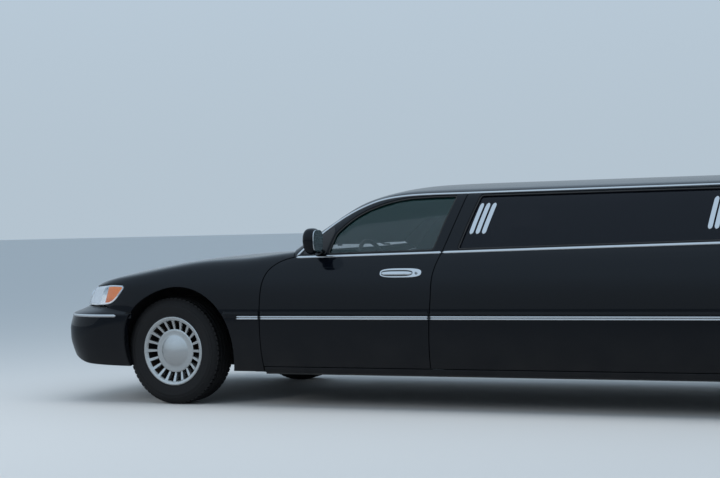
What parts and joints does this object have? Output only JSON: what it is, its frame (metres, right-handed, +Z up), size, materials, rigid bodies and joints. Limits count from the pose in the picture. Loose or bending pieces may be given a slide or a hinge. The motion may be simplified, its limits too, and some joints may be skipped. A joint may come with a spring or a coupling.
{
  "type": "stretch limousine",
  "caption": "Long-wheelbase saloon stretched between its front and rear doors, with opening doors, hood and boot lid, steering front wheels and rolling wheels.",
  "frame": {"origin": "on the ground below the centre of the car", "axes": "+X towards the nose, +Y towards the car's left side, +Z up"},
  "size_m": [8.52, 2.15, 1.402],
  "materials": {
    "paint": "gloss black paint",
    "underseal": "satin black",
    "frame_paint": "satin black",
    "chrome": "polished",
    "lamp_glass": "clear lens",
    "clear_glass": "light green tint",
    "tinted_glass": "green tint",
    "dark_glass": "dark tint",
    "red_lens": "red lens",
    "trim_plastic": "grained",
    "leather": "grained leather",
    "cast_iron": "rough",
    "steel": "dull",
    "wheel_silver": "silver lacquer",
    "tyre": "rubber"
  },
  "bodies": {
    "car_body": {"floor_pan": "underseal", "chassis_frame": "frame_paint", "engine_bay": "underseal", "front_fenders": "paint", "front_bumper": "paint", "grille": "chrome", "headlamps": "lamp_glass", "windscreen": "clear_glass", "roof_panel": "paint", "quarter_panels": "paint", "stretch_sides": "paint", "stretch_glass": "dark_glass", "rear_window": "dark_glass", "rear_bumper": "paint", "tail_lamps": "red_lens", "boot_tub": "underseal", "dashboard": "trim_plastic", "front_seats": "leather", "partition": "trim_plastic", "lounge_seats": "leather", "engine_block": "cast_iron", "front_suspension": "frame_paint", "rear_axle": "cast_iron", "exhaust": "steel", "fuel_tank": "steel"},
    "hood": {"hood": "paint"},
    "trunk_lid": {"trunk_lid": "paint"},
    "door_front_left": {"door_front_left": "paint", "glass_front_left": "tinted_glass"},
    "door_front_right": {"door_front_right": "paint", "glass_front_right": "tinted_glass"},
    "door_rear_left": {"door_rear_left": "paint", "glass_rear_left": "dark_glass"},
    "door_rear_right": {"door_rear_right": "paint", "glass_rear_right": "dark_glass"},
    "knuckle_left": {"knuckle_left": "cast_iron"},
    "knuckle_right": {"knuckle_right": "cast_iron"},
    "wheel_front_left": {"tyre_front_left": "tyre", "wheel_front_left": "wheel_silver"},
    "wheel_front_right": {"tyre_front_right": "tyre", "wheel_front_right": "wheel_silver"},
    "wheel_rear_left": {"tyre_rear_left": "tyre", "wheel_rear_left": "wheel_silver"},
    "wheel_rear_right": {"tyre_rear_right": "tyre", "wheel_rear_right": "wheel_silver"}
  },
  "joints": [
    {"name": "hood_hinge", "type": "hinge", "parent": "car_body", "child": "hood", "pos_m": [2.688, 0, 0.962], "axis": [0, -1, 0], "range_deg": [0, 50]},
    {"name": "trunk_hinge", "type": "hinge", "parent": "car_body", "child": "trunk_lid", "pos_m": [-3.315, 0, 0.974], "axis": [0, 1, 0], "range_deg": [0, 75]},
    {"name": "door_front_left_hinge", "type": "hinge", "parent": "car_body", "child": "door_front_left", "pos_m": [2.464, 0.945, 0.57], "axis": [0, 0, -1], "range_deg": [0, 65]},
    {"name": "door_front_right_hinge", "type": "hinge", "parent": "car_body", "child": "door_front_right", "pos_m": [2.464, -0.945, 0.57], "axis": [0, 0, 1], "range_deg": [0, 65]},
    {"name": "door_rear_left_hinge", "type": "hinge", "parent": "car_body", "child": "door_rear_left", "pos_m": [-1.776, 0.945, 0.57], "axis": [0, 0, -1], "range_deg": [0, 65]},
    {"name": "door_rear_right_hinge", "type": "hinge", "parent": "car_body", "child": "door_rear_right", "pos_m": [-1.776, -0.945, 0.57], "axis": [0, 0, 1], "range_deg": [0, 65]},
    {"name": "steer_left", "type": "hinge", "parent": "car_body", "child": "knuckle_left", "pos_m": [3.23, 0.76, 0.352], "axis": [0, 0, 1], "range_deg": [-33, 33]},
    {"name": "steer_right", "type": "hinge", "parent": "car_body", "child": "knuckle_right", "pos_m": [3.23, -0.76, 0.352], "axis": [0, 0, 1], "range_deg": [-33, 33]},
    {"name": "wheel_front_left_spin", "type": "hinge", "parent": "knuckle_left", "child": "wheel_front_left", "pos_m": [3.23, 0.81, 0.352], "axis": [0, 1, 0], "continuous": true},
    {"name": "wheel_front_right_spin", "type": "hinge", "parent": "knuckle_right", "child": "wheel_front_right", "pos_m": [3.23, -0.81, 0.352], "axis": [0, 1, 0], "continuous": true},
    {"name": "wheel_rear_left_spin", "type": "hinge", "parent": "car_body", "child": "wheel_rear_left", "pos_m": [-2.81, 0.825, 0.352], "axis": [0, 1, 0], "continuous": true},
    {"name": "wheel_rear_right_spin", "type": "hinge", "parent": "car_body", "child": "wheel_rear_right", "pos_m": [-2.81, -0.825, 0.352], "axis": [0, 1, 0], "continuous": true}
  ],
  "couplings": [
    {"joint": "steer_right", "follows": "steer_left", "ratio": 1}
  ]
}
